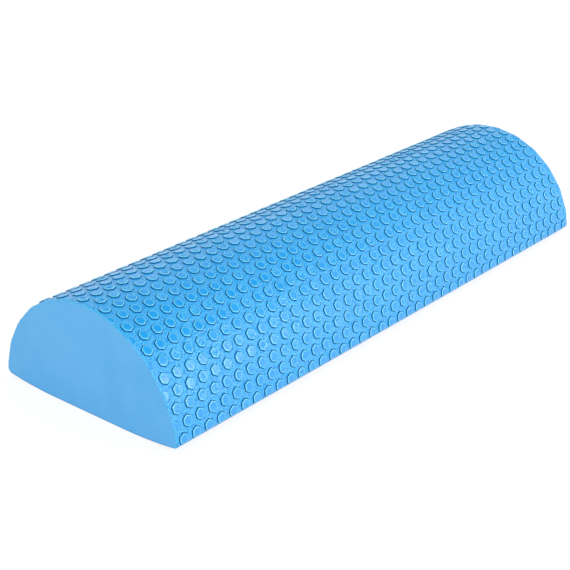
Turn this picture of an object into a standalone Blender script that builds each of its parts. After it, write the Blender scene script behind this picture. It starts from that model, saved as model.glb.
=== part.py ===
# Half round foam roller
#
# A D-shaped block of closed-cell foam, round side up. A dense textured skin is bonded over the
# round side and covered with staggered rows of raised dots; a smooth sheet closes the flat base.
# Metres, +Z up. The origin is under the middle of the base, and the roller lies along X.

import math

import bmesh
import bpy

# Overall sizes, measured over the dots
LENGTH = 0.450
DIAMETER = 0.153                # of the full round roller that this is one half of
HEIGHT = 0.074

# Layers
SKIN_THICKNESS = 0.003          # under the dots, and of the base sheet
BOND_GAP = 0.0003
INNER_CORNER_RADIUS = 0.0006    # inside the skin, where it turns under to the base

# Edges of the moulding
BASE_CORNER_RADIUS = SKIN_THICKNESS + INNER_CORNER_RADIUS
BASE_FLAT_WIDTH = 0.060         # the middle of the base, which the roller stands on
BASE_SWEEP_RADIUS = 0.320       # from there the base sweeps gently up to its long edges
RIM_RADIUS = 0.0012             # of the rounded rim round each end face

# Dots
DOT_DIAMETER = 0.0077
DOT_HEIGHT = 0.0009
DOT_ROW_PAIRS = 12              # one long row, and one short row set half a pitch along
LONG_ROW_DOTS = 42              # short rows have one fewer
END_MARGIN = 0.0059             # end face to the long rows' first centres
END_LAND = 0.0002               # end rim to the first dots' cells
BASE_MARGIN = 0.0070            # base edge to the lowest row's centres, round the section

# Facets
TOP_SIDES = 4
TOP_CORNER_SHARE = 1.13         # how far a faceted top's corners reach, of the dot's radius
CELL_SIDES = 6
RIM_STEPS = 2
STRIP_CELLS = 8                 # along the plain strip on the base corner
SWEEP_STEPS = 4

# Half of the section is a flat, a base sweep, a base corner and a crown, each tangent to the
# next. The corner's centre lies at a known distance from the centres of the sweep and the
# crown. These are for the land, the surface that the dots stand on.
LAND_RADIUS = DIAMETER / 2 - DOT_HEIGHT
CROWN_CENTRE_Z = HEIGHT - DIAMETER / 2
SWEEP_CENTRE_Y = BASE_FLAT_WIDTH / 2
CENTRES_APART = math.hypot(SWEEP_CENTRE_Y, BASE_SWEEP_RADIUS - CROWN_CENTRE_Z)
CENTRES_LEAN = math.atan2(BASE_SWEEP_RADIUS - CROWN_CENTRE_Z, SWEEP_CENTRE_Y)
CROWN_REACH = LAND_RADIUS - BASE_CORNER_RADIUS
SWEEP_REACH = BASE_SWEEP_RADIUS - BASE_CORNER_RADIUS
CORNER_LEAN = CENTRES_LEAN - math.acos(
    (CENTRES_APART ** 2 + CROWN_REACH ** 2 - SWEEP_REACH ** 2) / (2 * CENTRES_APART * CROWN_REACH))
CORNER_Y = CROWN_REACH * math.cos(CORNER_LEAN)
CORNER_Z = CROWN_CENTRE_Z + CROWN_REACH * math.sin(CORNER_LEAN)
BASE_LEAN = math.asin((CORNER_Y - SWEEP_CENTRE_Y) / SWEEP_REACH)
CROWN_TURN = math.pi / 2 + CORNER_LEAN
SWEEP_PATH = BASE_SWEEP_RADIUS * BASE_LEAN
CORNER_PATH = BASE_CORNER_RADIUS * (CROWN_TURN - BASE_LEAN)
FULL_PATH = 2 * (CORNER_PATH + LAND_RADIUS * (math.pi - CROWN_TURN))

# The dots' lattice: columns half a pitch apart, with a dot on every other one. Each dot has a
# six-sided cell, whose corners are the low points between it and two neighbours.
DOT_ROWS = 2 * DOT_ROW_PAIRS
DOT_PITCH = (LENGTH - 2 * END_MARGIN) / (LONG_ROW_DOTS - 1)
ROW_PITCH = (FULL_PATH - 2 * BASE_MARGIN) / (DOT_ROWS - 1)
CELL_REACH = (DOT_PITCH ** 2 / 4 + ROW_PITCH ** 2) / (2 * ROW_PITCH)
LAST_COLUMN = 2 * (LONG_ROW_DOTS - 1)
FIELD_HALF_LENGTH = LENGTH / 2 - RIM_RADIUS - END_LAND

FOAM_BLUE = (0.14, 0.42, 0.83, 1.0)
SKIN_BLUE = (0.07, 0.37, 0.87, 1.0)


def section_point(path, lift):
    """Y and Z of a point on the section. Its path runs round the land's outline, from 0 at one
    base edge over the crown to the other; outside that span it is on the base. Lift is the
    distance outside the outline."""
    if path > FULL_PATH / 2:
        y, z = section_point(FULL_PATH - path, lift)
        return -y, z
    if path < 0:
        turn = BASE_LEAN + path / BASE_SWEEP_RADIUS
        centre_y, centre_z, radius = -SWEEP_CENTRE_Y, BASE_SWEEP_RADIUS, BASE_SWEEP_RADIUS
    elif path < CORNER_PATH:
        turn = BASE_LEAN + path / BASE_CORNER_RADIUS
        centre_y, centre_z, radius = -CORNER_Y, CORNER_Z, BASE_CORNER_RADIUS
    else:
        turn = CROWN_TURN + (path - CORNER_PATH) / LAND_RADIUS
        centre_y, centre_z, radius = 0.0, CROWN_CENTRE_Z, LAND_RADIUS
    reach = radius + lift
    return centre_y - math.sin(turn) * reach, centre_z - math.cos(turn) * reach


def column_x(column):
    """X of a lattice column; the first long-row dot's column is 0. The field's edges, half a
    pitch beyond the first and last dots, are drawn in to leave room for the end rims."""
    x = END_MARGIN - LENGTH / 2 + column * DOT_PITCH / 2
    return max(-FIELD_HALF_LENGTH, min(x, FIELD_HALF_LENGTH))


def row_path(row, side=0):
    """Path of a lattice row, or of its cells' lower (-1) or upper (1) corners."""
    return BASE_MARGIN + row * ROW_PITCH + side * CELL_REACH


def with_mirror(paths):
    """Paths on one half of the section, and their mirror images on the other half."""
    return paths + [FULL_PATH - path for path in reversed(paths)]


def skin_paths():
    """Paths at which the skin's smooth surfaces have their vertices."""
    rows = [row_path(row) for row in range(DOT_ROW_PAIRS)]
    return with_mirror([0.0, row_path(0, -1), row_path(-1, 1)] + rows)


def sweep_paths():
    """Paths on one half of the base, from its flat middle towards its long edge."""
    return [-SWEEP_PATH * step / SWEEP_STEPS for step in range(SWEEP_STEPS, 0, -1)]


def weave(bm, first, second, first_marks, second_marks):
    """Fill the band between two runs of vertices with triangles.

    The marks say how far along each vertex is, and the run that lags takes the next step."""
    i, j = 0, 0
    while i < len(first) - 1 or j < len(second) - 1:
        first_next = first_marks[i] + first_marks[i + 1] if i < len(first) - 1 else math.inf
        second_next = second_marks[j] + second_marks[j + 1] if j < len(second) - 1 else math.inf
        if first_next <= second_next:
            bm.faces.new((first[i], first[i + 1], second[j]))
            i += 1
        else:
            bm.faces.new((first[i], second[j + 1], second[j]))
            j += 1


def weave_along(bm, first, second, axis):
    """Weave between two runs whose marks are their own coordinates on one axis."""
    weave(bm, first, second, [v.co[axis] for v in first], [v.co[axis] for v in second])


def even_angles(sides):
    """Angles of a shape's corners, from the one nearest the roller's axis on and round again."""
    return [2 * math.pi * (side + 0.5) / sides for side in range(sides + 1)]


def add_dot(bm, column, row, corners):
    """One dot: a flat top, and walls that slope down to the corners of its cell."""
    reach = DOT_DIAMETER / 2 * TOP_CORNER_SHARE
    tops = []
    for angle in even_angles(TOP_SIDES)[:-1]:
        path = row_path(row) + reach * math.sin(angle)
        x = column_x(column) + reach * math.cos(angle)
        tops.append(bm.verts.new((x, *section_point(path, DOT_HEIGHT))))
    weave(bm, corners + corners[:1], tops + tops[:1],
          even_angles(CELL_SIDES), even_angles(TOP_SIDES))
    bm.faces.new(tops)


def add_dotted_field(bm):
    """All the dots and the land round them. Gives the field's four sides: the two along the
    roller as vertices, and the two at its ends as pairs of path and vertex."""
    sites = {}

    def low(column, row, side):
        """The low point above (1) or below (-1) a lattice site."""
        if (column, row, side) not in sites:
            place = (column_x(column), *section_point(row_path(row, side), 0.0))
            sites[column, row, side] = bm.verts.new(place)
        return sites[column, row, side]

    for row in range(DOT_ROWS):
        for column in range(row % 2, LAST_COLUMN + 1, 2):
            corners = [low(column + 1, row + 1, -1), low(column, row, 1),
                       low(column - 1, row + 1, -1), low(column - 1, row - 1, 1),
                       low(column, row, -1), low(column + 1, row - 1, 1)]
            add_dot(bm, column, row, corners)

    # The field's edges zigzag between cells; a face in each notch makes them straight.
    top_row = DOT_ROWS - 1
    for column in range(0, LAST_COLUMN, 2):
        bm.faces.new((low(column, 0, -1), low(column + 2, 0, -1), low(column + 1, -1, 1)))
    for column in range(0, LAST_COLUMN + 1, 2):
        bm.faces.new((low(column - 1, top_row, 1), low(column + 1, top_row, 1),
                      low(column, DOT_ROWS, -1)))
    for edge, column in ((-1, 0), (LAST_COLUMN + 1, LAST_COLUMN)):
        bm.faces.new((low(edge, 0, -1), low(column, 0, -1), low(edge, -1, 1)))
        for row in range(1, DOT_ROWS, 2):
            bm.faces.new((low(edge, row, -1), low(edge, row, 1),
                          low(column, row + 1, -1), low(column, row - 1, 1)))

    front = [low(-1, 0, -1)] + [low(column, 0, -1) for column in range(0, LAST_COLUMN + 1, 2)]
    front.append(low(LAST_COLUMN + 1, 0, -1))
    back = [low(column, top_row, 1) for column in range(-1, LAST_COLUMN + 2, 2)]
    ends = {}
    for end, column in ((-1, -1), (1, LAST_COLUMN + 1)):
        places = {row_path(row, side): vertex for (at_column, row, side), vertex in sites.items()
                  if at_column == column}
        ends[end] = sorted(places.items())
    return front, back, ends


def join_lines(bm, first, second):
    """Quads between two lines with the same number of vertices."""
    for i in range(len(first) - 1):
        bm.faces.new((first[i], first[i + 1], second[i + 1], second[i]))


def add_layer_ends(bm, paths):
    """A layer's rounded rim and narrow flat ring at each end, and its inside face. Gives the
    lines of vertices at each end, from the land over the rim to the inside."""
    lines = {}
    for end in (-1, 1):
        lines[end] = []
        for step in range(RIM_STEPS + 1):
            angle = math.pi / 2 * step / RIM_STEPS
            x = end * (LENGTH / 2 - RIM_RADIUS * (1 - math.sin(angle)))
            lift = -RIM_RADIUS * (1 - math.cos(angle))
            lines[end].append([bm.verts.new((x, *section_point(path, lift))) for path in paths])
        lines[end].append([bm.verts.new((end * LENGTH / 2, *section_point(path, -SKIN_THICKNESS)))
                           for path in paths])
        for first, second in zip(lines[end], lines[end][1:]):
            join_lines(bm, first, second)
    join_lines(bm, lines[-1][-1], lines[1][-1])
    return lines


def add_lip_face(bm, lines, lip, place):
    """The narrow face along a layer's edge. The lip is its outer edge on the land."""
    left = [line[place] for line in lines[-1][:0:-1]]
    right = [line[place] for line in lines[1][1:]]
    bm.faces.new(left + lip + right)


def plain_strip_line(bm, path, left_vertex, right_vertex):
    """Vertices along the roller on the plain strip, between those of the two end rims."""
    y, z = section_point(path, 0.0)
    line = [left_vertex]
    for cell in range(1, STRIP_CELLS):
        line.append(bm.verts.new((LENGTH * (cell / STRIP_CELLS - 1 / 2), y, z)))
    return line + [right_vertex]


def dotted_skin_mesh():
    """The skin over the round side, from one base edge to the other."""
    bm = bmesh.new()
    front, back, ends = add_dotted_field(bm)
    paths = skin_paths()
    lines = add_layer_ends(bm, paths)
    land = {end: lines[end][0] for end in (-1, 1)}

    # Land between the field and the end rims; the field spans all but one path a side
    for end in (-1, 1):
        marks, vertices = zip(*ends[end])
        weave(bm, vertices, land[end][1:-1], marks, paths[1:-1])

    # Plain strips from the field round to the base edges
    for field_side, outer, inner in ((front, 0, 1), (back, -1, -2)):
        edge = [land[-1][inner]] + field_side + [land[1][inner]]
        lip = plain_strip_line(bm, paths[outer], land[-1][outer], land[1][outer])
        weave_along(bm, edge, lip, 0)
        add_lip_face(bm, lines, lip, outer)
    bmesh.ops.recalc_face_normals(bm, faces=bm.faces)
    return bm


def base_skin_mesh():
    """The sheet between the skin's two lower edges, which the roller stands on."""
    bm = bmesh.new()
    half = sweep_paths() + [-BOND_GAP]
    lines = add_layer_ends(bm, half[::-1] + [FULL_PATH - path for path in half])
    land = {end: lines[end][0] for end in (-1, 1)}
    join_lines(bm, land[-1], land[1])
    for place in (0, -1):
        add_lip_face(bm, lines, [land[-1][place], land[1][place]], place)
    bmesh.ops.recalc_face_normals(bm, faces=bm.faces)
    return bm


def foam_core_mesh():
    """The block inside the skins. Its ends are the roller's smooth end faces."""
    bm = bmesh.new()
    half = sweep_paths() + skin_paths()[:DOT_ROW_PAIRS + 3]
    outline = [section_point(path, -SKIN_THICKNESS - BOND_GAP) for path in with_mirror(half)]
    profile = bm.faces.new([bm.verts.new((-LENGTH / 2, y, z)) for y, z in outline])
    extruded = bmesh.ops.extrude_face_region(bm, geom=[profile])
    far_end = [item for item in extruded["geom"] if isinstance(item, bmesh.types.BMVert)]
    bmesh.ops.translate(bm, verts=far_end, vec=(LENGTH, 0.0, 0.0))
    bmesh.ops.recalc_face_normals(bm, faces=bm.faces)
    return bm


def foam_material(name, colour, roughness):
    """A plain finish for one kind of foam surface."""
    material = bpy.data.materials.new(name)
    material.use_nodes = True
    shader = material.node_tree.nodes["Principled BSDF"]
    shader.inputs["Base Color"].default_value = colour
    shader.inputs["Roughness"].default_value = roughness
    shader.inputs["Metallic"].default_value = 0.0
    return material


def add_piece(name, bm, material, parent):
    """Turn a finished bmesh into the named object of one piece."""
    mesh = bpy.data.meshes.new(name)
    bm.to_mesh(mesh)
    bm.free()
    mesh.materials.append(material)
    piece = bpy.data.objects.new(name, mesh)
    piece.parent = parent
    bpy.context.scene.collection.objects.link(piece)
    return piece


def main():
    for old in list(bpy.data.objects):
        bpy.data.objects.remove(old, do_unlink=True)
    roller = bpy.data.objects.new("half_round_roller", None)
    bpy.context.scene.collection.objects.link(roller)
    add_piece("foam_core", foam_core_mesh(),
              foam_material("smooth core foam", FOAM_BLUE, 0.62), roller)
    add_piece("dotted_skin", dotted_skin_mesh(),
              foam_material("textured skin foam", SKIN_BLUE, 0.48), roller)
    add_piece("base_skin", base_skin_mesh(),
              foam_material("smooth base foam", FOAM_BLUE, 0.58), roller)


if __name__ == "__main__":
    main()
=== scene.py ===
"""Half round foam roller: its dotted skin, foam core and base sheet, and a plain pale stage."""
import math
import random

import bmesh
import bpy
from bpy.props import FloatProperty, FloatVectorProperty, IntProperty, PointerProperty
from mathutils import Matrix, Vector


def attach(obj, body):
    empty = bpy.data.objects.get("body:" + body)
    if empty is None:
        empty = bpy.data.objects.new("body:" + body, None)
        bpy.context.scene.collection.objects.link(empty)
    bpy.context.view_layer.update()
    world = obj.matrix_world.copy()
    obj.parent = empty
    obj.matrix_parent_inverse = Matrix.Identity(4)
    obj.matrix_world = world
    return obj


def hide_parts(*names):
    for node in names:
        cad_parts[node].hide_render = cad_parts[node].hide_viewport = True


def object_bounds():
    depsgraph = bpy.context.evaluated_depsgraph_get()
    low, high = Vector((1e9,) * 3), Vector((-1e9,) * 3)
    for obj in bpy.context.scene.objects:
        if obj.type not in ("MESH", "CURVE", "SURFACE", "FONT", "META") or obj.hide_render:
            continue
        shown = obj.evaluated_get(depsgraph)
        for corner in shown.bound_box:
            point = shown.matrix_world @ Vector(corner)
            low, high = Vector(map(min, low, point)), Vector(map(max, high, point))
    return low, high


bl_info = {
    "name": "Half Round Foam Roller",
    "version": (1, 0, 0),
    "blender": (4, 5, 0),
    "location": "View3D > Sidebar > Foam Roller",
    "description": "Builds a half round foam roller with a dotted skin, and a stage to show it on",
    "category": "Add Mesh",
}

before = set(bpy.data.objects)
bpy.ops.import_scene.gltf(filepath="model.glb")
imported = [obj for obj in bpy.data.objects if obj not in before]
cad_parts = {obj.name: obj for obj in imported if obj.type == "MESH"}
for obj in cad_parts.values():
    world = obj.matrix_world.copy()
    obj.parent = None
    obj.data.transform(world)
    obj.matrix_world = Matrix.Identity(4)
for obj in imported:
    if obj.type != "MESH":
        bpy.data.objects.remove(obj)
CAD_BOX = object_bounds()
BODY = "root"
BAKE_MAP = "OFBake"

# The skin's mesh
CORNER_SHARE = 0.11           # of a dot's side, cut off at each of its six corners
RIM_STEPS = 5
INSIDE_LINES = 48             # along the skin's hidden inside, round the section
CORNER_CUTS = 6               # extra lines over each base corner
WELD_DISTANCE = 1e-6
CUT_TOLERANCE = 1e-9
ANGLE_TOLERANCE = 1e-6
# A dot's profile from its middle out: shares of its radius, and of its height
DOT_PROFILE_SHARES = ((0.40, 0.99), (0.73, 1.0), (0.79, 0.97), (0.85, 0.84), (0.90, 0.55),
                      (0.99, 0.05), (1.06, 0.0))
# How strongly each ring takes a top's look, the painted foot shade and the painted edge highlight
TOP_MARKS = (1.0, 1.0, 0.6, 0.0, 0.0, 0.0, 0.0)
FOOT_SHADE_MARKS = (0.0, 0.0, 0.0, 0.0, 0.9, 1.0, 0.0)
EDGE_HIGHLIGHT_MARKS = (0.0, 0.1, 1.0, 0.9, 0.1, 0.0, 0.0)
DISH_SHARES = (0.02, 0.14)    # how far most dots' middles sink, of their height
DENT_SHARES = (0.40, 0.90)    # and those of the dented ones
DENTED_SHARE = 0.3
DISH_SPREAD = 0.55            # how much of that the ring round the middle sinks
SLACK_SHARE = 0.06            # how much a dot's height varies
CUT_DOT_SHARE = 0.5           # how high the cut dots at the short rows' ends stand
CUT_MARK_SHARE = 0.45         # how strong the cut dots' painted shade and painted highlight are
CUT_EDGE_SHARE = 0.2          # what the end rim leaves of their height
EDGE_SINK = (0.0024, 0.0060)  # from the base edges: dots are sunk before, and full after
RIM_HIGHLIGHT_MARK = 0.14               # the end rims' painted highlight, against a dot's edge
DOT_SEED = 11
DOT_LAYERS = ("top", "foot", "edge", "tone", "dent")

# The core's end faces
FACE_RINGS = 9
FACE_POINTS = 96              # over the round side
SWEEP_POINTS = 8              # over each side of the base
FLAT_POINTS = 12
FACE_TUCK = 0.00002           # how far the end faces stay behind the skin's rim
FACE_OVERLAP = 0.0002         # how far they reach under it
FACE_MIDDLE_SHARE = 0.42      # how high their middle lies, of the roller's height
FACE_DIP = 0.00016            # how deep their soft dips are
FACE_DIP_LEVEL = 0.8          # how deep they are on average, of that
FACE_DIP_TURNS = (41.0, 57.0, 23.0)  # radians in a metre: across, up, and the dips' lean
FACE_DIP_SHIFT = 1.3          # radians that the near and far dips are moved apart
FACE_DIP_FADE = 4             # power by which they fade towards the rim

# The base sheet
SHEET_COLUMNS = 60

# The bake maps, in shares of a map's side. Scales are roller lengths across the map
MAP_MIDDLE = 0.5
SKIN_MAP_SCALE = 1.1
SKIN_HIDDEN_ROW = 0.7
CORE_HIDDEN_ROW = 0.8
HIDDEN_SQUEEZE = 4
FACE_MARGIN = 0.05
FACE_STEP = 0.45              # from one end face to the other
SHEET_MAP_SCALE = 1.05
SHEET_MARGIN = 0.02
SHEET_HIDDEN_STEP = 0.45      # from the underside to the hidden side
SHEET_SIDE_ROW = 0.90
SHEET_SIDE_STEP = 0.04

# The finishes
GRAIN_BUMP_SHARE = 0.75       # of the grain's height, from its rounded bumps
GRAIN_FINE_SHARE = 0.35       # and from the finer noise on them
PATCH_SHARE = 0.7             # of the shade colour, in the darker patches
GROOVE_SHADE_SHARE = 0.25           # of the shade colour, as painted shade in the grooves of the grain
PATCH_ROUGHENING = 0.06
SCUFF_ROUGHENING = 0.3
TOP_SHARE = 0.6               # of the top colour, on a middling dot's top
TOP_SPREAD = 0.35             # how much that differs from dot to dot
TOP_SMOOTHING = 0.85          # how much of the crinkles an undented top loses
TOP_POLISH = 0.09             # how much less rough the tops are
CREST_HIGHLIGHT_SHARE = 0.45            # of the crest colour, as a painted highlight on the crinkles' crests
PORE_SHADE_SHARE = 0.7              # of the foot colour, as painted shade in the pinholes
SKIN_SHINE = 0.95             # specular level, down to none in the painted shade at a dot's foot
SHEEN = {"Sheen_Weight": 0.22, "Sheen_Roughness": 0.25, "Sheen_Tint": (0.45, 0.60, 1.0, 1.0)}

# The stage
FLOOR_GLOW = 0.84             # what the floor shows of white without any light
SHADOW_FLOOR_TONE = 0.22      # of the part of it that takes light and shadow
FLOOR_TONE = 0.75             # as the roller's light meets it
# The sine of the height where each starts, and of that where it is full
MIRROR_FALL = (0.50, 0.72)    # the mirrored sky's dimming
OVERHEAD_RISE = (0.1, 0.9)    # the overhead light's rise
KEY_LIGHT = {"size": 0.6, "azimuth": math.radians(20), "elevation": math.radians(26)}
FILL_LIGHT = {"size": 0.7, "azimuth": math.radians(-66), "elevation": math.radians(18)}
LIGHT_DISTANCE = 1.6
SENSOR_WIDTH = 36.0           # in millimetres
WHITE = (1.0, 1.0, 1.0, 1.0)


def length_property(name, description, default):
    """A length that shows in the scene's units."""
    return FloatProperty(name=name, description=description, unit='LENGTH', default=default)


def colour_property(name, description, *colour):
    """An opaque colour, as linear red, green and blue."""
    return FloatVectorProperty(name=name, description=description, subtype='COLOR', size=4,
                               min=0.0, max=1.0, default=(*colour, 1.0))


class RollerShape(bpy.types.PropertyGroup):
    """The moulding's outer sizes."""
    length: length_property("Length", "From end face to end face", CAD_BOX[1].x - CAD_BOX[0].x)
    height: length_property("Height", "From the base to the crown, over the dots", CAD_BOX[1].z)
    diameter: length_property(
        "Diameter", "Of the full round roller that this is one half of", 0.153)
    flat_width: length_property("Base Flat", "Width of the flat middle of the base", 0.060)
    sweep_radius: length_property(
        "Base Sweep Radius", "Of the gentle curve up to the base's long edges", 0.320)
    corner_radius: length_property(
        "Base Corner Radius", "Where the round side turns under to the base", 0.0036)
    rim_radius: length_property("Rim Radius", "Of the rounded rim round each end face", 0.0012)
    crust_depth: length_property(
        "Crust Depth", "Of the textured crust that shows round the end faces", 0.0014)


class DotPattern(bpy.types.PropertyGroup):
    """The raised six-sided dots and how they are spread."""
    diameter: length_property("Dot Diameter", "Across the corners of a dot's foot", 0.0084)
    height: length_property("Dot Height", "Above the land between the dots", 0.0009)
    rows: IntProperty(name="Rows", description="Rows of dots round the curved side", default=24)
    long_row: IntProperty(
        name="Dots in a Long Row", description="Short rows have one whole dot fewer, and a cut "
        "one at each end", default=42)
    end_margin: length_property(
        "End Margin", "From an end face to the long rows' first middles", 0.0059)
    base_margin: length_property(
        "Base Margin", "From the base edge to the lowest row's middle", 0.0070)


class FoamFinish(bpy.types.PropertyGroup):
    """Colours and grain of the foam."""
    skin_colour: colour_property("Skin", "Moulded skin, in the light", 0.002, 0.388, 0.915)
    skin_shade: colour_property("Skin Shade", "Darker patches of the skin", 0.002, 0.350, 0.885)
    top_colour: colour_property(
        "Dot Top", "Dot tops, a little deeper than the land", 0.000, 0.335, 0.860)
    # A painted highlight on the crinkles' crests
    crest_highlight_colour: colour_property(
        "Crinkle Crest", "Paler crests of the crinkles", 0.055, 0.575, 0.985)
    # Painted shade: the dots' walls and feet, and the pinholes
    foot_shade_colour: colour_property(
        "Dot Foot", "The dark foot of the wall round each dot, and the pinholes",
        0.000, 0.085, 0.310)
    # A painted highlight along each dot's edge and on the end rims
    edge_highlight_colour: colour_property("Dot Edge", "The burnished edge of each dot", 0.190, 0.830, 1.0)
    core_colour: colour_property("End Face", "Smooth foam of the end faces", 0.124, 0.492, 0.912)
    core_shade: colour_property(
        "End Face Shade", "Darker patches of the end faces", 0.100, 0.455, 0.880)
    base_colour: colour_property("Base Sheet", "Smooth foam of the underside", 0.070, 0.395, 0.800)
    base_shade: colour_property(
        "Base Shade", "Darker patches of the underside", 0.055, 0.345, 0.750)
    scuff_colour: colour_property("Scuff", "Faint pale handling marks", 0.300, 0.600, 0.920)
    grain_size: length_property("Grain Size", "Across one bump of the leather grain", 0.00055)
    grain_depth: length_property("Grain Depth", "From the grain's grooves to its tops", 0.00006)
    crinkle_size: length_property(
        "Crinkle Size", "Across one crinkle of the land and the dented dots", 0.0016)
    crinkle_depth: length_property(
        "Crinkle Depth", "From the crinkles' valleys to their tops", 0.00080)
    pore_spacing: length_property("Pore Spacing", "Between the pinholes of the dot tops", 0.0019)
    patch_size: length_property("Patch Size", "Across the darker patches", 0.035)


class StudioStage(bpy.types.PropertyGroup):
    """The pale stage, its light and the camera."""
    azimuth: FloatProperty(
        name="Azimuth", description="Camera's turn round the roller", subtype='ANGLE',
        default=math.radians(-49.991))
    elevation: FloatProperty(
        name="Elevation", description="Camera's angle above the floor", subtype='ANGLE',
        default=math.radians(24.207))
    distance: length_property("Distance", "Camera to the roller's middle", 0.9682)
    slide_right: length_property("Slide Right", "Camera's shift to its right", -0.02515)
    slide_up: length_property("Slide Up", "Camera's shift up its own frame", -0.02621)
    lens: FloatProperty(name="Lens", description="Focal length in millimetres", default=85.81)
    key_power: FloatProperty(
        name="Key", description="Watts of the large soft light at the front", default=8.5)
    fill_power: FloatProperty(
        name="Fill", description="Watts of the soft light on the left", default=4.0)
    sky_strength: FloatProperty(
        name="Sky", description="Strength of the even light from all round", default=0.70)
    overhead: FloatProperty(
        name="Overhead", description="How much stronger it is from straight above",
        default=0.16)
    ceiling: FloatProperty(
        name="Ceiling", description="How bright mirrors show the sky overhead", default=0.0)
    floor_size: length_property("Floor", "Side of the square floor", 12.0)


class Section:
    """The outline across the roller. A path runs along the land that the dots stand on, from 0
    at one base edge over the crown to the other; outside that span it is on the base. Lift is
    the height above the outline. Each half is a flat, a base sweep, a base corner and a crown,
    each tangent to the next."""

    def __init__(self, shape, dots):
        self.corner = shape.corner_radius
        self.sweep = shape.sweep_radius
        self.flat_y = shape.flat_width / 2
        self.radius = shape.diameter / 2 - dots.height
        self.centre_z = shape.height - shape.diameter / 2
        crown_reach = self.radius - self.corner
        sweep_reach = self.sweep - self.corner
        rise = self.sweep - self.centre_z
        apart = math.hypot(self.flat_y, rise)
        lean = math.atan2(rise, self.flat_y) - math.acos(
            (apart ** 2 + crown_reach ** 2 - sweep_reach ** 2) / (2 * apart * crown_reach))
        self.corner_y = crown_reach * math.cos(lean)
        self.corner_z = self.centre_z + crown_reach * math.sin(lean)
        self.base_lean = math.asin((self.corner_y - self.flat_y) / sweep_reach)
        self.crown_turn = math.pi / 2 + lean
        self.sweep_path = self.sweep * self.base_lean
        self.corner_path = self.corner * (self.crown_turn - self.base_lean)
        self.full_path = 2 * (self.corner_path + self.radius * (math.pi - self.crown_turn))

    def point(self, path, lift):
        """Y and Z of a point."""
        if path > self.full_path / 2:
            y, z = self.point(self.full_path - path, lift)
            return -y, z
        if path < -self.sweep_path:
            return -self.flat_y - self.sweep_path - path, -lift
        if path < 0:
            turn = self.base_lean + path / self.sweep
            y, z, radius = -self.flat_y, self.sweep, self.sweep
        elif path < self.corner_path:
            turn = self.base_lean + path / self.corner
            y, z, radius = -self.corner_y, self.corner_z, self.corner
        else:
            turn = self.crown_turn + (path - self.corner_path) / self.radius
            y, z, radius = 0.0, self.centre_z, self.radius
        return y - math.sin(turn) * (radius + lift), z - math.cos(turn) * (radius + lift)

    def base_paths(self):
        """Paths from one base edge along the sweep and the flat to the middle of the base."""
        paths = [-self.sweep_path * i / SWEEP_POINTS for i in range(SWEEP_POINTS + 1)]
        return paths + [-self.sweep_path - self.flat_y * 2 * i / FLAT_POINTS
                        for i in range(1, FLAT_POINTS // 2 + 1)]


class Lattice:
    """The staggered lattice of the dots, on the curved side rolled out flat."""

    def __init__(self, shape, dots, section):
        self.start = dots.end_margin - shape.length / 2
        self.last = 2 * (dots.long_row - 1)
        self.half_pitch = -2 * self.start / self.last
        self.first_path = dots.base_margin
        self.row_pitch = (section.full_path - 2 * dots.base_margin) / (dots.rows - 1)
        self.reach = (self.half_pitch ** 2 + self.row_pitch ** 2) / (2 * self.row_pitch)
        self.rows = dots.rows

    def place(self, column, row):
        """Flat place of a cell's middle."""
        return self.start + column * self.half_pitch, self.first_path + row * self.row_pitch

    def outline(self):
        """A cell's corners and the middles of its sides, seen from its own middle."""
        side = self.row_pitch - self.reach
        corners = [Vector((self.half_pitch, side)), Vector((0, self.reach)),
                   Vector((-self.half_pitch, side)), Vector((-self.half_pitch, -side)),
                   Vector((0, -self.reach)), Vector((self.half_pitch, -side))]
        points = []
        for corner, following in zip(corners, corners[1:] + corners[:1]):
            points += [corner, (corner + following) / 2]
        return points


def weave(bm, first, second, first_marks, second_marks):
    """Fill the band between two runs of vertices with triangles, by how far along each is."""
    i, j = 0, 0
    while i < len(first) - 1 or j < len(second) - 1:
        first_next = first_marks[i] + first_marks[i + 1] if i < len(first) - 1 else math.inf
        second_next = second_marks[j] + second_marks[j + 1] if j < len(second) - 1 else math.inf
        if first_next <= second_next:
            bm.faces.new((first[i], first[i + 1], second[j]))
            i += 1
        else:
            bm.faces.new((first[i], second[j + 1], second[j]))
            j += 1


def close_ring(ring):
    return ring + ring[:1]


def join_lines(bm, first, second):
    """Quads between two lines with the same number of vertices. Gives the new faces."""
    return [bm.faces.new((first[i], first[i + 1], second[i + 1], second[i]))
            for i in range(len(first) - 1)]


def ring_angles(points):
    """Angles of a ring's points from its middle, rising from the first and round to it again."""
    angles = [math.atan2(p.y, p.x) for p in points]
    angles = [a + 2 * math.pi * (a < angles[0] - ANGLE_TOLERANCE) for a in angles]
    return angles + [angles[0] + 2 * math.pi]


def dot_outline():
    """A dot's outline, with a radius of 1: a hexagon with a corner up and a corner down the
    curve, and each corner cut off a little."""
    corners = [Vector((math.cos(a), math.sin(a)))
               for a in (math.pi * (side / 3 + 1 / 6) for side in range(6))]
    points = []
    for before, corner, after in zip(corners[-1:] + corners, corners, corners[1:] + corners[:1]):
        points += [corner.lerp(before, CORNER_SHARE), corner.lerp(after, CORNER_SHARE)]
    return points


class Dot:
    """What moulding leaves different from dot to dot."""

    def __init__(self, chance, height, cut):
        self.height = height * (1 - SLACK_SHARE * chance.random()) * (CUT_DOT_SHARE if cut else 1)
        self.dented = float(chance.random() < DENTED_SHARE)
        self.dish = chance.uniform(*(DENT_SHARES if self.dented else DISH_SHARES))
        self.tone = chance.uniform(-1.0, 1.0)
        self.strength = CUT_MARK_SHARE if cut else 1


def add_fan(bm, ring, centre):
    """Triangles from a closed ring to the vertex in its middle."""
    for vertex, following in zip(ring, ring[1:] + ring[:1]):
        bm.faces.new((vertex, following, centre))


def add_border(bm, middle, outline):
    """A cell's outline on the land."""
    return [bm.verts.new((middle[0] + p.x, middle[1] + p.y, 0.0)) for p in outline]


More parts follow.
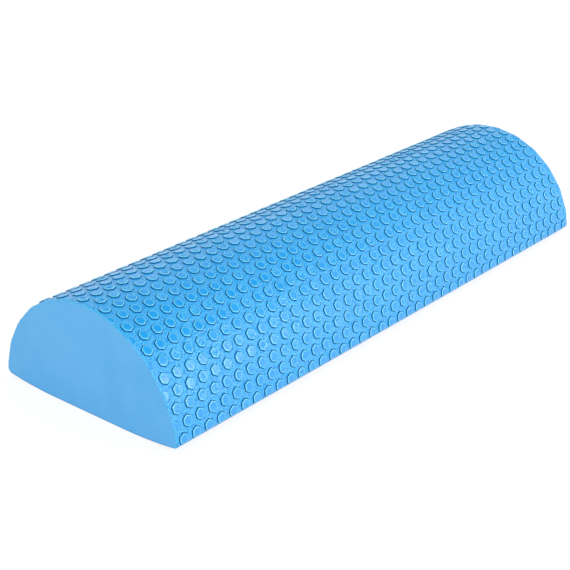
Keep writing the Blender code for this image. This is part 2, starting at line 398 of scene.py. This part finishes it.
def add_dot_cell(bm, layers, middle, outline, hexagon, radius, dot):
    """One cell of the flat skin: a dot, and the land round it."""
    border = add_border(bm, middle, outline)
    centre = bm.verts.new((*middle, dot.height * (1 - dot.dish)))
    centre[layers["tone"]] = dot.tone
    centre[layers["top"]] = 1.0
    centre[layers["dent"]] = dot.dented
    inner = None
    for step, (reach, lift) in enumerate(DOT_PROFILE_SHARES):
        ring = []
        for point in hexagon if step else hexagon[::2]:
            x = middle[0] + radius * reach * point.x
            path = middle[1] + radius * reach * point.y
            height = dot.height * (lift - dot.dish * DISH_SPREAD * (step == 0))
            vertex = bm.verts.new((x, path, height))
            # Marks for the top colour, the painted shade at the foot and the painted highlight
            # along the edge
            vertex[layers["top"]] = TOP_MARKS[step]
            vertex[layers["foot"]] = FOOT_SHADE_MARKS[step] * dot.strength
            vertex[layers["edge"]] = EDGE_HIGHLIGHT_MARKS[step] * dot.strength
            vertex[layers["tone"]] = dot.tone * TOP_MARKS[step]
            vertex[layers["dent"]] = dot.dented * (step == 0)
            ring.append(vertex)
        if inner is None:
            add_fan(bm, ring, centre)
        elif step == 1:
            weave(bm, close_ring(ring), close_ring(inner), ring_angles(hexagon),
                  ring_angles(hexagon[::2]))
        else:
            join_lines(bm, close_ring(ring), close_ring(inner))
        inner = ring
    weave(bm, close_ring(border), close_ring(inner), ring_angles(outline), ring_angles(hexagon))


def flat_skin(shape, dots, section, lattice):
    """The outer skin rolled out flat: X along the roller, Y the path and Z the lift."""
    bm = bmesh.new()
    layers = {name: bm.verts.layers.float.new(name) for name in DOT_LAYERS}
    outline, hexagon = lattice.outline(), dot_outline()
    chance = random.Random(DOT_SEED)
    for row in range(-1, lattice.rows + 1):
        for column in range(-1, lattice.last + 2):
            if (column + row) % 2:
                continue
            middle = lattice.place(column, row)
            if 0 <= row < lattice.rows:
                dot = Dot(chance, dots.height, cut=not 0 <= column <= lattice.last)
                add_dot_cell(bm, layers, middle, outline, hexagon, dots.diameter / 2, dot)
            else:
                add_fan(bm, add_border(bm, middle, outline), bm.verts.new((*middle, 0.0)))
    bmesh.ops.remove_doubles(bm, verts=bm.verts, dist=WELD_DISTANCE)
    for vertex in bm.verts:
        from_edge = min(vertex.co.y, section.full_path - vertex.co.y)
        kept = (from_edge - EDGE_SINK[0]) / (EDGE_SINK[1] - EDGE_SINK[0])
        vertex.co.z *= min(1.0, max(0.0, kept))

    def cut(point, normal, trim):
        bmesh.ops.bisect_plane(bm, geom=bm.verts[:] + bm.edges[:] + bm.faces[:],
                               dist=CUT_TOLERANCE, plane_co=point, plane_no=normal,
                               clear_outer=trim)

    rim_start = shape.length / 2 - shape.rim_radius
    for end in (-1, 1):
        cut((end * rim_start, 0, 0), (end, 0, 0), True)
    cut((0, 0, 0), (0, -1, 0), True)
    cut((0, section.full_path, 0), (0, 1, 0), True)
    for line in range(1, CORNER_CUTS + 1):
        path = section.corner_path * line / CORNER_CUTS
        cut((0, path, 0), (0, 1, 0), False)
        cut((0, section.full_path - path, 0), (0, 1, 0), False)
    return bm


def edge_line(bm, axis, value, along):
    """The flat skin's vertices on one of its straight edges, in order."""
    on_edge = [v for v in bm.verts if abs(v.co[axis] - value) < WELD_DISTANCE]
    return sorted(on_edge, key=lambda v: v.co[along])


def add_end_rim(bm, line, end, shape, inside_paths, unrolled):
    """The rounded rim at one end, and the band behind it that meets the core. Gives the band's
    inner line, and the rim's vertices along each base edge."""
    # The end rims take a faint painted highlight
    edge_highlight_layer = bm.verts.layers.float["edge"]
    half = shape.length / 2
    rim_start = half - shape.rim_radius
    outer = line
    sides = [[], []]
    for step in range(1, RIM_STEPS + 1):
        angle = math.pi / 2 * step / RIM_STEPS
        x = end * (half - shape.rim_radius * (1 - math.sin(angle)))
        fall = shape.rim_radius * (1 - math.cos(angle))
        kept = 1 - (1 - CUT_EDGE_SHARE) * step / RIM_STEPS
        following = []
        for start in line:
            vertex = bm.verts.new((x, start.co.y, start.co.z * kept - fall))
            vertex[edge_highlight_layer] = RIM_HIGHLIGHT_MARK
            unrolled[vertex] = (end * (rim_start + shape.rim_radius * angle), start.co.y)
            following.append(vertex)
        join_lines(bm, outer, following)
        sides[0].append(following[0])
        sides[1].append(following[-1])
        outer = following
    inner = [bm.verts.new((end * half, path, -shape.crust_depth)) for path in inside_paths]
    for vertex in inner:
        unrolled[vertex] = (end * (rim_start + shape.rim_radius * (math.pi / 2 + 1)), vertex.co.y)
    weave(bm, outer, inner, [v.co.y for v in outer], inside_paths)
    return inner, sides


def map_skin(bm, uv_layer, unrolled, hidden, width):
    """The skin's bake map: its outside rolled out flat, and its hidden faces in a thin strip
    above that."""
    for face in bm.faces:
        for loop in face.loops:
            if face in hidden:
                x, path, _ = loop.vert.co
                loop[uv_layer].uv = (MAP_MIDDLE + x / width,
                                     SKIN_HIDDEN_ROW + path / width / HIDDEN_SQUEEZE)
            else:
                x, path = unrolled[loop.vert]
                loop[uv_layer].uv = (MAP_MIDDLE + x / width, path / width)


def shade_smooth(bm, flat):
    """Smooth shading all over, but for the flat faces, whose edges are sharp."""
    for face in bm.faces:
        face.smooth = face not in flat
    for face in flat:
        for edge in face.edges:
            edge.smooth = False


def build_skin_mesh(shape, dots):
    """The whole skin: dots and land, end rims, and the hidden inside that meets the core."""
    section = Section(shape, dots)
    bm = flat_skin(shape, dots, section, Lattice(shape, dots, section))
    uv_layer = bm.loops.layers.uv.new(BAKE_MAP)
    rim_start = shape.length / 2 - shape.rim_radius
    lips = [edge_line(bm, 1, place, 0) for place in (0.0, section.full_path)]
    starts = {end: edge_line(bm, 0, end * rim_start, 1) for end in (-1, 1)}
    unrolled = {v: (v.co.x, v.co.y) for v in bm.verts}
    inside_paths = [section.full_path * i / INSIDE_LINES for i in range(INSIDE_LINES + 1)]
    inside, sides = {}, {}
    for end, line in starts.items():
        inside[end], sides[end] = add_end_rim(bm, line, end, shape, inside_paths, unrolled)
    hidden = join_lines(bm, inside[-1], inside[1])
    for lip, side in zip(lips, (0, -1)):
        hidden.append(bm.faces.new([inside[-1][side]] + sides[-1][side][::-1] + lip
                                   + sides[1][side] + [inside[1][side]]))
    bmesh.ops.recalc_face_normals(bm, faces=bm.faces)
    hidden = set(hidden)
    map_skin(bm, uv_layer, unrolled, hidden, shape.length * SKIN_MAP_SCALE)
    shade_smooth(bm, hidden)
    for vertex in bm.verts:
        x, path, lift = vertex.co
        vertex.co = (x, *section.point(path, lift))
    return bm


def face_dip(y, z, end, share):
    """How far a place on an end face dips in, at its share of the way out to the rim."""
    across, up, lean = FACE_DIP_TURNS
    wave = math.sin(across * y + FACE_DIP_SHIFT * end) * math.cos(up * z + lean * y)
    return -FACE_DIP * (1 - share ** FACE_DIP_FADE) * min(wave - FACE_DIP_LEVEL, 0.0)


def build_core_mesh(shape, dots):
    """The core: a D-shaped block whose ends are the roller's smooth, very slightly uneven
    end faces."""
    section = Section(shape, dots)
    bm = bmesh.new()
    uv_layer = bm.loops.layers.uv.new(BAKE_MAP)
    depth = shape.crust_depth - FACE_OVERLAP
    half = section.base_paths()[:0:-1] + [section.full_path * i / FACE_POINTS
                                          for i in range(FACE_POINTS // 2)]
    outline = [Vector(section.point(path, -depth)) for path in half]
    crown = Vector(section.point(section.full_path / 2, -depth))
    mirrored = [Vector((-point.x, point.y)) for point in reversed(outline[1:])]
    outline += [crown] + mirrored
    middle = Vector((0.0, shape.height * FACE_MIDDLE_SHARE))
    rings = {}
    for end in (-1, 1):
        rings[end] = []
        for step in range(FACE_RINGS, 0, -1):
            share = math.sin(math.pi / 2 * step / FACE_RINGS)
            ring = []
            for point in outline:
                y, z = middle.lerp(point, share)
                x = end * (shape.length / 2 - FACE_TUCK - face_dip(y, z, end, share))
                ring.append(bm.verts.new((x, y, z)))
            rings[end].append(ring)
        centre = bm.verts.new((end * (shape.length / 2 - FACE_DIP), *middle))
        for first, second in zip(rings[end], rings[end][1:]):
            join_lines(bm, close_ring(first), close_ring(second))
        add_fan(bm, rings[end][-1], centre)
    wall = set(join_lines(bm, close_ring(rings[-1][0]), close_ring(rings[1][0])))
    bmesh.ops.recalc_face_normals(bm, faces=bm.faces)
    width = shape.length
    for face in bm.faces:
        start = FACE_MARGIN + FACE_STEP * (face.calc_center_median().x > 0)
        for loop in face.loops:
            x, y, z = loop.vert.co
            if face in wall:
                loop[uv_layer].uv = (MAP_MIDDLE + x / width,
                                     CORE_HIDDEN_ROW + y / width / HIDDEN_SQUEEZE)
            else:
                loop[uv_layer].uv = (start + (y + section.corner_y) / width,
                                     FACE_MARGIN + z / width)
    shade_smooth(bm, wall)
    return bm


def build_sheet_mesh(shape, dots):
    """The base sheet: flat where it rests, swept up to its long edges, with rounded ends."""
    section = Section(shape, dots)
    bm = bmesh.new()
    half_length, rim = shape.length / 2, shape.rim_radius
    arc = [math.pi / 2 * step / RIM_STEPS for step in range(RIM_STEPS + 1)]
    left = [(-half_length + rim * (1 - math.sin(a)), rim * (math.cos(a) - 1)) for a in arc[::-1]]
    span = shape.length - 2 * rim
    flat = [(rim - half_length + span * i / SHEET_COLUMNS, 0.0) for i in range(1, SHEET_COLUMNS)]
    right = [(-x, lift) for x, lift in reversed(left)]
    profile = ([(-half_length, -shape.crust_depth)] + left + flat + right
               + [(half_length, -shape.crust_depth)])
    half = section.base_paths()
    rows = [(path, 1) for path in half] + [(path, -1) for path in half[-2::-1]]
    lines, across = [], {}
    run, last = 0.0, 0.0
    for path, side in rows:
        run += abs(path - last)
        last = path
        line = []
        for x, lift in profile:
            y, z = section.point(path, lift)
            vertex = bm.verts.new((x, side * y, z))
            across[vertex] = run
            line.append(vertex)
        lines.append(line)
    hidden = []
    for first, second in zip(lines, lines[1:]):
        join_lines(bm, first, second)
        hidden.append(bm.faces.new((first[0], second[0], second[-1], first[-1])))
    for line in (lines[0], lines[-1]):
        hidden.append(bm.faces.new(line))
    bmesh.ops.recalc_face_normals(bm, faces=bm.faces)
    uv_layer = bm.loops.layers.uv.new(BAKE_MAP)
    width = shape.length * SHEET_MAP_SCALE
    ends = hidden[-2:]
    for face in bm.faces:
        for loop in face.loops:
            x, y, z = loop.vert.co
            reach = math.copysign(z, x) if abs(x) > half_length - rim else 0.0
            height = SHEET_MARGIN + across[loop.vert] / width
            if face in ends:
                height = SHEET_SIDE_ROW + SHEET_SIDE_STEP * (y > 0) + z / width
            elif face in hidden:
                height += SHEET_HIDDEN_STEP
            loop[uv_layer].uv = (MAP_MIDDLE + (x + reach) / width, height)
    shade_smooth(bm, hidden)
    return bm


def set_inputs(node, **values):
    """Plain values on the inputs that they name. Gives the node."""
    for label, value in values.items():
        node.inputs[label.replace("_", " ")].default_value = value
    return node


def group_tree(name, inputs, outputs):
    """An empty shader node group with a Vector input and the named sockets, and its two end
    nodes."""
    tree = bpy.data.node_groups.new(name, 'ShaderNodeTree')
    for label, kind, default in [("Vector", 'Vector', None)] + inputs:
        socket = tree.interface.new_socket(label, in_out='INPUT', socket_type='NodeSocket' + kind)
        if default is not None:
            socket.default_value = default
    for label, kind in outputs:
        tree.interface.new_socket(label, in_out='OUTPUT', socket_type='NodeSocket' + kind)
    return tree, tree.nodes.new('NodeGroupInput'), tree.nodes.new('NodeGroupOutput')


def add_math(tree, operation, first, second=None, third=None, clamp=False):
    """A Math node on sockets or plain numbers. Gives its output."""
    node = tree.nodes.new('ShaderNodeMath')
    node.operation = operation
    node.use_clamp = clamp
    for socket, value in zip(node.inputs, (first, second, third)):
        if isinstance(value, bpy.types.NodeSocket):
            tree.links.new(value, socket)
        elif value is not None:
            socket.default_value = value
    return node.outputs[0]


def add_mix(tree, factor, first, second):
    """A colour Mix node. Gives its output."""
    node = tree.nodes.new('ShaderNodeMix')
    node.data_type = 'RGBA'
    for label, value in (("Factor_Float", factor), ("A_Color", first), ("B_Color", second)):
        socket = next(s for s in node.inputs if s.identifier == label)
        if isinstance(value, bpy.types.NodeSocket):
            tree.links.new(value, socket)
        else:
            socket.default_value = value
    return next(s for s in node.outputs if s.identifier == "Result_Color")


def add_ramp(tree, value, low, high):
    """A smooth step of a value from low to high. Gives its output."""
    node = set_inputs(tree.nodes.new('ShaderNodeMapRange'), From_Min=low, From_Max=high)
    node.interpolation_type = 'SMOOTHSTEP'
    tree.links.new(value, node.inputs["Value"])
    return node.outputs["Result"]


def add_scaled(tree, vector, size):
    """A vector in units of a size. Gives its output."""
    node = tree.nodes.new('ShaderNodeVectorMath')
    node.operation = 'DIVIDE'
    tree.links.new(vector, node.inputs[0])
    merge = tree.nodes.new('ShaderNodeCombineXYZ')
    for socket in merge.inputs:
        tree.links.new(size, socket)
    tree.links.new(merge.outputs[0], node.inputs[1])
    return node.outputs[0]


def add_noise(tree, vector, scale, detail, roughness=0.5):
    """A noise texture. Gives its output."""
    node = set_inputs(tree.nodes.new('ShaderNodeTexNoise'), Scale=scale, Detail=detail,
                      Roughness=roughness)
    tree.links.new(vector, node.inputs["Vector"])
    return node.outputs["Fac"]


def make_grain_group():
    """Leather grain: rounded bumps with fine grooves between them."""
    tree, inlet, outlet = group_tree(
        "Leather Grain", [("Bump Size", 'Float', 0.0005)],
        [("Height", 'Float'), ("Grooves", 'Float')])
    place = add_scaled(tree, inlet.outputs["Vector"], inlet.outputs["Bump Size"])
    cells = tree.nodes.new('ShaderNodeTexVoronoi')
    cells.feature = 'SMOOTH_F1'
    set_inputs(cells, Scale=1.0, Smoothness=0.35)
    tree.links.new(place, cells.inputs["Vector"])
    distance = cells.outputs["Distance"]
    rounded = add_math(tree, 'SUBTRACT', 1.0, add_math(tree, 'POWER', distance, 2.0))
    fine = add_noise(tree, place, scale=2.7, detail=2.0)
    height = add_math(tree, 'MULTIPLY_ADD', rounded, GRAIN_BUMP_SHARE,
                      add_math(tree, 'MULTIPLY', fine, GRAIN_FINE_SHARE))
    tree.links.new(height, outlet.inputs["Height"])
    tree.links.new(add_ramp(tree, distance, low=0.45, high=0.85), outlet.inputs["Grooves"])
    return tree


def make_patch_group():
    """Uneven colour of moulded foam: broad soft patches and a fine speckle."""
    tree, inlet, outlet = group_tree(
        "Foam Patches",
        [("Patch Size", 'Float', 0.03), ("Color", 'Color', None), ("Shade Color", 'Color', None),
         ("Speckle", 'Float', 0.3)],
        [("Color", 'Color'), ("Patches", 'Float')])
    place = add_scaled(tree, inlet.outputs["Vector"], inlet.outputs["Patch Size"])
    broad = add_ramp(tree, add_noise(tree, place, scale=1.0, detail=3.0, roughness=0.55),
                     low=0.36, high=0.66)
    speckle = add_ramp(tree, add_noise(tree, place, scale=55.0, detail=2.0), low=0.35, high=0.70)
    speckle = add_math(tree, 'MULTIPLY', speckle, inlet.outputs["Speckle"])
    share = add_math(tree, 'MULTIPLY_ADD', broad, PATCH_SHARE, speckle, clamp=True)
    tree.links.new(add_mix(tree, share, inlet.outputs["Color"], inlet.outputs["Shade Color"]),
                   outlet.inputs["Color"])
    tree.links.new(broad, outlet.inputs["Patches"])
    return tree


def make_scuff_group():
    """Handling marks: sparse faint streaks and rubs that are paler and less shiny."""
    tree, inlet, outlet = group_tree(
        "Handling Scuffs", [("Rub Size", 'Float', 0.02), ("Amount", 'Float', 0.2)],
        [("Mask", 'Float')])
    place = add_scaled(tree, inlet.outputs["Vector"], inlet.outputs["Rub Size"])
    rubs = add_ramp(tree, add_noise(tree, place, scale=1.0, detail=5.0, roughness=0.62),
                    low=0.56, high=0.78)
    streaks = set_inputs(tree.nodes.new('ShaderNodeMapping'), Scale=(0.6, 7.0, 7.0),
                         Rotation=(0.3, 0.2, 0.5))
    tree.links.new(place, streaks.inputs["Vector"])
    lines = add_ramp(tree, add_noise(tree, streaks.outputs[0], scale=1.4, detail=2.0),
                     low=0.62, high=0.80)
    mask = add_math(tree, 'MULTIPLY', add_math(tree, 'MAXIMUM', rubs, lines),
                    inlet.outputs["Amount"], clamp=True)
    tree.links.new(mask, outlet.inputs["Mask"])
    return tree


def make_pore_group():
    """Pinholes: small round pores, at random places about a spacing apart."""
    tree, inlet, outlet = group_tree(
        "Foam Pores", [("Spacing", 'Float', 0.002)], [("Mask", 'Float')])
    cells = set_inputs(tree.nodes.new('ShaderNodeTexVoronoi'), Scale=1.0)
    tree.links.new(add_scaled(tree, inlet.outputs["Vector"], inlet.outputs["Spacing"]),
                   cells.inputs["Vector"])
    unbroken = add_ramp(tree, cells.outputs["Distance"], low=0.10, high=0.22)
    tree.links.new(add_math(tree, 'SUBTRACT', 1.0, unbroken), outlet.inputs["Mask"])
    return tree


def placed_group(material, group, **values):
    """One use of a node group in a material, with its values and its object coordinates."""
    nodes, links = material.node_tree.nodes, material.node_tree.links
    node = nodes.new('ShaderNodeGroup')
    node.node_tree = group
    coordinates = nodes.get("Texture Coordinate") or nodes.new('ShaderNodeTexCoord')
    links.new(coordinates.outputs["Object"], node.inputs["Vector"])
    return set_inputs(node, **values)


def attribute_value(material, name):
    """A mesh attribute's value. Gives its output."""
    node = material.node_tree.nodes.new('ShaderNodeAttribute')
    node.attribute_name = name
    return node.outputs["Fac"]


def foam_material(name, groups, colour, shade, finish, roughness, grain_share, speckle, scuffs):
    """A foam finish: patches, scuffs, and leather grain with painted shade in its grooves. Gives
    the material, its colour and its bump node, so that a piece can add to them."""
    material = bpy.data.materials.new(name)
    material.use_nodes = True
    tree = material.node_tree
    shader = tree.nodes["Principled BSDF"]
    patches = placed_group(material, groups["patches"], Patch_Size=finish.patch_size,
                           Color=colour, Shade_Color=shade, Speckle=speckle)
    marks = placed_group(material, groups["scuffs"], Amount=scuffs)
    grain = placed_group(material, groups["grain"], Bump_Size=finish.grain_size)
    tinted = add_mix(tree, marks.outputs["Mask"], patches.outputs["Color"], finish.scuff_colour)
    groove_shade = add_math(tree, 'MULTIPLY', grain.outputs["Grooves"], GROOVE_SHADE_SHARE)
    # Painted shade in the grain's grooves
    tinted = add_mix(tree, groove_shade, tinted, shade)
    rough = add_math(tree, 'MULTIPLY_ADD', patches.outputs["Patches"], PATCH_ROUGHENING, roughness)
    rough = add_math(tree, 'MULTIPLY_ADD', marks.outputs["Mask"], SCUFF_ROUGHENING, rough)
    tree.links.new(rough, shader.inputs["Roughness"])
    bump = set_inputs(tree.nodes.new('ShaderNodeBump'), Strength=1.0,
                      Distance=finish.grain_depth * grain_share)
    tree.links.new(grain.outputs["Height"], bump.inputs["Height"])
    tree.links.new(bump.outputs["Normal"], shader.inputs["Normal"])
    tree.links.new(tinted, shader.inputs["Base Color"])
    return material, tinted, bump


def skin_material(groups, finish):
    """The textured skin: satin, with painted shade on each dot's wall and foot and a painted
    highlight along its edge, pinholes painted dark in the tops, and crinkles with a painted
    highlight on their crests on the land and the dented dots."""
    material, colour, bump = foam_material(
        "textured skin foam", groups, finish.skin_colour, finish.skin_shade, finish,
        roughness=0.29, grain_share=1.0, speckle=0.45, scuffs=0.10)
    tree = material.node_tree
    shader = set_inputs(tree.nodes["Principled BSDF"], **SHEEN)
    top, foot, edge, tone, dent = [attribute_value(material, name) for name in DOT_LAYERS]
    topped = add_math(tree, 'MULTIPLY', top,
                      add_math(tree, 'MULTIPLY_ADD', tone, TOP_SPREAD, TOP_SHARE))
    colour = add_mix(tree, topped, colour, finish.top_colour)
    crinkles = placed_group(material, groups["grain"], Bump_Size=finish.crinkle_size)
    smoothed = add_math(tree, 'MULTIPLY', top, add_math(tree, 'SUBTRACT', TOP_SMOOTHING, dent))
    crinkled = add_math(tree, 'SUBTRACT', 1.0, smoothed)
    # Painted highlight on the crinkles' crests
    crests = add_math(tree, 'MULTIPLY', crinkled,
                      add_ramp(tree, crinkles.outputs["Height"], low=0.45, high=0.85))
    colour = add_mix(tree, add_math(tree, 'MULTIPLY', crests, CREST_HIGHLIGHT_SHARE), colour,
                     finish.crest_highlight_colour)
    # Painted highlight along each dot's edge and on the end rims
    colour = add_mix(tree, edge, colour, finish.edge_highlight_colour)
    # Pinholes in the tops, painted dark as their shade
    pores = placed_group(material, groups["pores"], Spacing=finish.pore_spacing)
    pore_shade = add_math(tree, 'MULTIPLY', pores.outputs["Mask"], top)
    colour = add_mix(tree, add_math(tree, 'MULTIPLY', pore_shade, PORE_SHADE_SHARE), colour,
                     finish.foot_shade_colour)
    # Painted shade on the dots' walls and feet
    colour = add_mix(tree, foot, colour, finish.foot_shade_colour)
    tree.links.new(colour, shader.inputs["Base Color"])

    # Hands polish the tops, the land is duller, and the painted shade at the dots' feet doesn't
    # shine
    rough = shader.inputs["Roughness"].links[0].from_socket
    tree.links.new(add_math(tree, 'MULTIPLY_ADD', top, -TOP_POLISH, rough),
                   shader.inputs["Roughness"])
    tree.links.new(add_math(tree, 'MULTIPLY_ADD', foot, -SKIN_SHINE, SKIN_SHINE),
                   shader.inputs["Specular IOR Level"])

    coarse = set_inputs(tree.nodes.new('ShaderNodeBump'), Distance=finish.crinkle_depth)
    tree.links.new(crinkled, coarse.inputs["Strength"])
    tree.links.new(crinkles.outputs["Height"], coarse.inputs["Height"])
    tree.links.new(coarse.outputs["Normal"], bump.inputs["Normal"])
    return material


def finish_groups():
    """The shared node groups, built once."""
    makers = {"grain": ("Leather Grain", make_grain_group),
              "patches": ("Foam Patches", make_patch_group),
              "scuffs": ("Handling Scuffs", make_scuff_group),
              "pores": ("Foam Pores", make_pore_group)}
    return {key: bpy.data.node_groups.get(name) or make() for key, (name, make) in makers.items()}


def add_piece(name, bm, material, node):
    """The finished object of one piece, in place of its CAD node."""
    mesh = bpy.data.meshes.new(name)
    bm.to_mesh(mesh)
    bm.free()
    mesh.materials.append(material)
    piece = bpy.data.objects.new(name, mesh)
    bpy.context.scene.collection.objects.link(piece)
    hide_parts(node)
    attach(piece, BODY)
    return piece


class ROLLER_OT_dotted_skin(bpy.types.Operator):
    """Build the textured skin with its raised dots and rounded end rims"""
    bl_idname = "roller.dotted_skin"
    bl_label = "Dotted Skin"

    def execute(self, context):
        scene = context.scene
        add_piece("textured_skin", build_skin_mesh(scene.roller_shape, scene.roller_dots),
                  skin_material(finish_groups(), scene.roller_finish), "dotted_skin")
        return {'FINISHED'}


class ROLLER_OT_core(bpy.types.Operator):
    """Build the foam core, whose ends are the smooth end faces"""
    bl_idname = "roller.core"
    bl_label = "Foam Core"

    def execute(self, context):
        scene = context.scene
        finish = scene.roller_finish
        material, _, _ = foam_material(
            "smooth core foam", finish_groups(), finish.core_colour, finish.core_shade, finish,
            roughness=0.52, grain_share=0.35, speckle=0.25, scuffs=0.12)
        add_piece("core_block", build_core_mesh(scene.roller_shape, scene.roller_dots),
                  material, "foam_core")
        return {'FINISHED'}


class ROLLER_OT_base_sheet(bpy.types.Operator):
    """Build the smooth sheet that closes the flat base"""
    bl_idname = "roller.base_sheet"
    bl_label = "Base Sheet"

    def execute(self, context):
        scene = context.scene
        finish = scene.roller_finish
        material, _, _ = foam_material(
            "smooth base foam", finish_groups(), finish.base_colour, finish.base_shade, finish,
            roughness=0.50, grain_share=0.8, speckle=0.30, scuffs=0.18)
        add_piece("base_sheet", build_sheet_mesh(scene.roller_shape, scene.roller_dots),
                  material, "base_skin")
        return {'FINISHED'}


def ray_mask(tree, *kinds):
    """1 for rays of any of these kinds, and 0 for all others."""
    path = tree.nodes.new('ShaderNodeLightPath')
    mask = path.outputs[kinds[0]]
    for kind in kinds[1:]:
        mask = add_math(tree, 'MAXIMUM', mask, path.outputs[kind])
    return mask


def add_choice(tree, mask, first, second, output):
    """The first shader where the mask is 0, and the second where it is 1, into an output."""
    choice = tree.nodes.new('ShaderNodeMixShader')
    for source, socket in zip((mask, first.outputs[0], second.outputs[0]), choice.inputs):
        tree.links.new(source, socket)
    tree.links.new(choice.outputs[0], tree.nodes[output].inputs["Surface"])


def floor_material():
    """White to the eye with a faint shadow, and a plain pale floor to the light."""
    material = bpy.data.materials.new("pale floor")
    material.use_nodes = True
    tree = material.node_tree
    tree.nodes.remove(tree.nodes["Principled BSDF"])
    glow = set_inputs(tree.nodes.new('ShaderNodeEmission'), Strength=FLOOR_GLOW)
    faint, plain = [set_inputs(tree.nodes.new('ShaderNodeBsdfDiffuse'), Color=(*[tone] * 3, 1.0))
                    for tone in (SHADOW_FLOOR_TONE, FLOOR_TONE)]
    shown = tree.nodes.new('ShaderNodeAddShader')
    tree.links.new(glow.outputs[0], shown.inputs[0])
    tree.links.new(faint.outputs[0], shown.inputs[1])
    seen_directly = ray_mask(tree, "Is Camera Ray", "Is Glossy Ray", "Is Transmission Ray")
    add_choice(tree, seen_directly, plain, shown, "Material Output")
    return material


def make_world(stage):
    """A pale sky that looks white. It lights evenly, and mirrors show it darker overhead."""
    world = bpy.data.worlds.new("pale sky")
    world.use_nodes = True
    tree = world.node_tree
    sky = set_inputs(tree.nodes["Background"], Color=WHITE)
    place = tree.nodes.new('ShaderNodeTexCoord')
    height = tree.nodes.new('ShaderNodeSeparateXYZ')
    tree.links.new(place.outputs["Generated"], height.inputs[0])
    mirrored = add_math(tree, 'MULTIPLY_ADD', add_ramp(tree, height.outputs["Z"], *MIRROR_FALL),
                        stage.ceiling - 1.0, 1.0)
    even = add_math(tree, 'MULTIPLY_ADD', add_ramp(tree, height.outputs["Z"], *OVERHEAD_RISE),
                    stage.overhead, stage.sky_strength)
    strength = tree.nodes.new('ShaderNodeMix')
    tree.links.new(ray_mask(tree, "Is Glossy Ray"), strength.inputs["Factor"])
    tree.links.new(even, strength.inputs["A"])
    tree.links.new(mirrored, strength.inputs["B"])
    tree.links.new(strength.outputs["Result"], sky.inputs["Strength"])
    white = set_inputs(tree.nodes.new('ShaderNodeBackground'), Color=WHITE, Strength=1.0)
    seen_through = ray_mask(tree, "Is Camera Ray", "Is Transmission Ray")
    add_choice(tree, seen_through, sky, white, "World Output")
    return world


def direction(azimuth, elevation):
    """Unit vector from the roller towards a place seen at those angles, as the camera's are."""
    return Vector((math.sin(azimuth) * math.cos(elevation),
                   -math.cos(azimuth) * math.cos(elevation), math.sin(elevation)))


def add_soft_light(name, power, target, size, azimuth, elevation):
    """A large square light that faces the target."""
    data = bpy.data.lights.new(name, 'AREA')
    data.shape = 'SQUARE'
    data.size = size
    data.energy = power
    light = bpy.data.objects.new(name, data)
    away = direction(azimuth, elevation)
    light.location = target + away * LIGHT_DISTANCE
    light.rotation_euler = (-away).to_track_quat('-Z', 'Y').to_euler()
    bpy.context.scene.collection.objects.link(light)


def add_camera(stage, target):
    """The camera at the photograph's viewing angle."""
    data = bpy.data.cameras.new("camera")
    data.sensor_width = SENSOR_WIDTH
    data.lens = stage.lens
    camera = bpy.data.objects.new("camera", data)
    back = direction(stage.azimuth, stage.elevation)
    right = (-back).cross(Vector((0, 0, 1))).normalized()
    up = right.cross(-back)
    camera.location = (target + back * stage.distance + right * stage.slide_right
                       + up * stage.slide_up)
    camera.rotation_mode = 'QUATERNION'
    camera.rotation_quaternion = (-back).to_track_quat('-Z', 'Y')
    bpy.context.scene.collection.objects.link(camera)
    bpy.context.scene.camera = camera


class ROLLER_OT_stage(bpy.types.Operator):
    """Add the pale floor, the soft lights, the sky and the camera"""
    bl_idname = "roller.stage"
    bl_label = "Stage"

    def execute(self, context):
        scene = context.scene
        stage = scene.roller_stage
        target = Vector((0.0, 0.0, scene.roller_shape.height / 2))
        bm = bmesh.new()
        bmesh.ops.create_grid(bm, x_segments=1, y_segments=1, size=stage.floor_size / 2)
        mesh = bpy.data.meshes.new("floor")
        bm.to_mesh(mesh)
        bm.free()
        mesh.materials.append(floor_material())
        floor = bpy.data.objects.new("floor", mesh)
        scene.collection.objects.link(floor)
        add_soft_light("key", stage.key_power, target, **KEY_LIGHT)
        add_soft_light("fill", stage.fill_power, target, **FILL_LIGHT)
        scene.world = make_world(stage)
        add_camera(stage, target)
        scene.view_settings.view_transform = 'Standard'
        return {'FINISHED'}


class VIEW3D_PT_foam_roller(bpy.types.Panel):
    """Sizes, colours and buttons of the foam roller"""
    bl_label = "Foam Roller"
    bl_idname = "VIEW3D_PT_foam_roller"
    bl_space_type = 'VIEW_3D'
    bl_region_type = 'UI'
    bl_category = "Foam Roller"

    def draw(self, context):
        scene = context.scene
        for title, group, operators in (
                ("Shape", scene.roller_shape, (ROLLER_OT_core, ROLLER_OT_base_sheet)),
                ("Dots", scene.roller_dots, (ROLLER_OT_dotted_skin,)),
                ("Finish", scene.roller_finish, ()),
                ("Stage", scene.roller_stage, (ROLLER_OT_stage,))):
            box = self.layout.box()
            box.label(text=title)
            for name in group.__annotations__:
                box.prop(group, name)
            for operator in operators:
                box.operator(operator.bl_idname)


CLASSES = (RollerShape, DotPattern, FoamFinish, StudioStage, ROLLER_OT_dotted_skin,
           ROLLER_OT_core, ROLLER_OT_base_sheet, ROLLER_OT_stage, VIEW3D_PT_foam_roller)
GROUPS = {"roller_shape": RollerShape, "roller_dots": DotPattern,
          "roller_finish": FoamFinish, "roller_stage": StudioStage}


def register():
    for entry in CLASSES:
        bpy.utils.register_class(entry)
    for name, group in GROUPS.items():
        setattr(bpy.types.Scene, name, PointerProperty(type=group))


def unregister():
    for name in GROUPS:
        delattr(bpy.types.Scene, name)
    for entry in reversed(CLASSES):
        bpy.utils.unregister_class(entry)


def main():
    register()
    bpy.ops.roller.stage()
    bpy.ops.roller.dotted_skin()
    bpy.ops.roller.core()
    bpy.ops.roller.base_sheet()


if __name__ == "__main__":
    main()
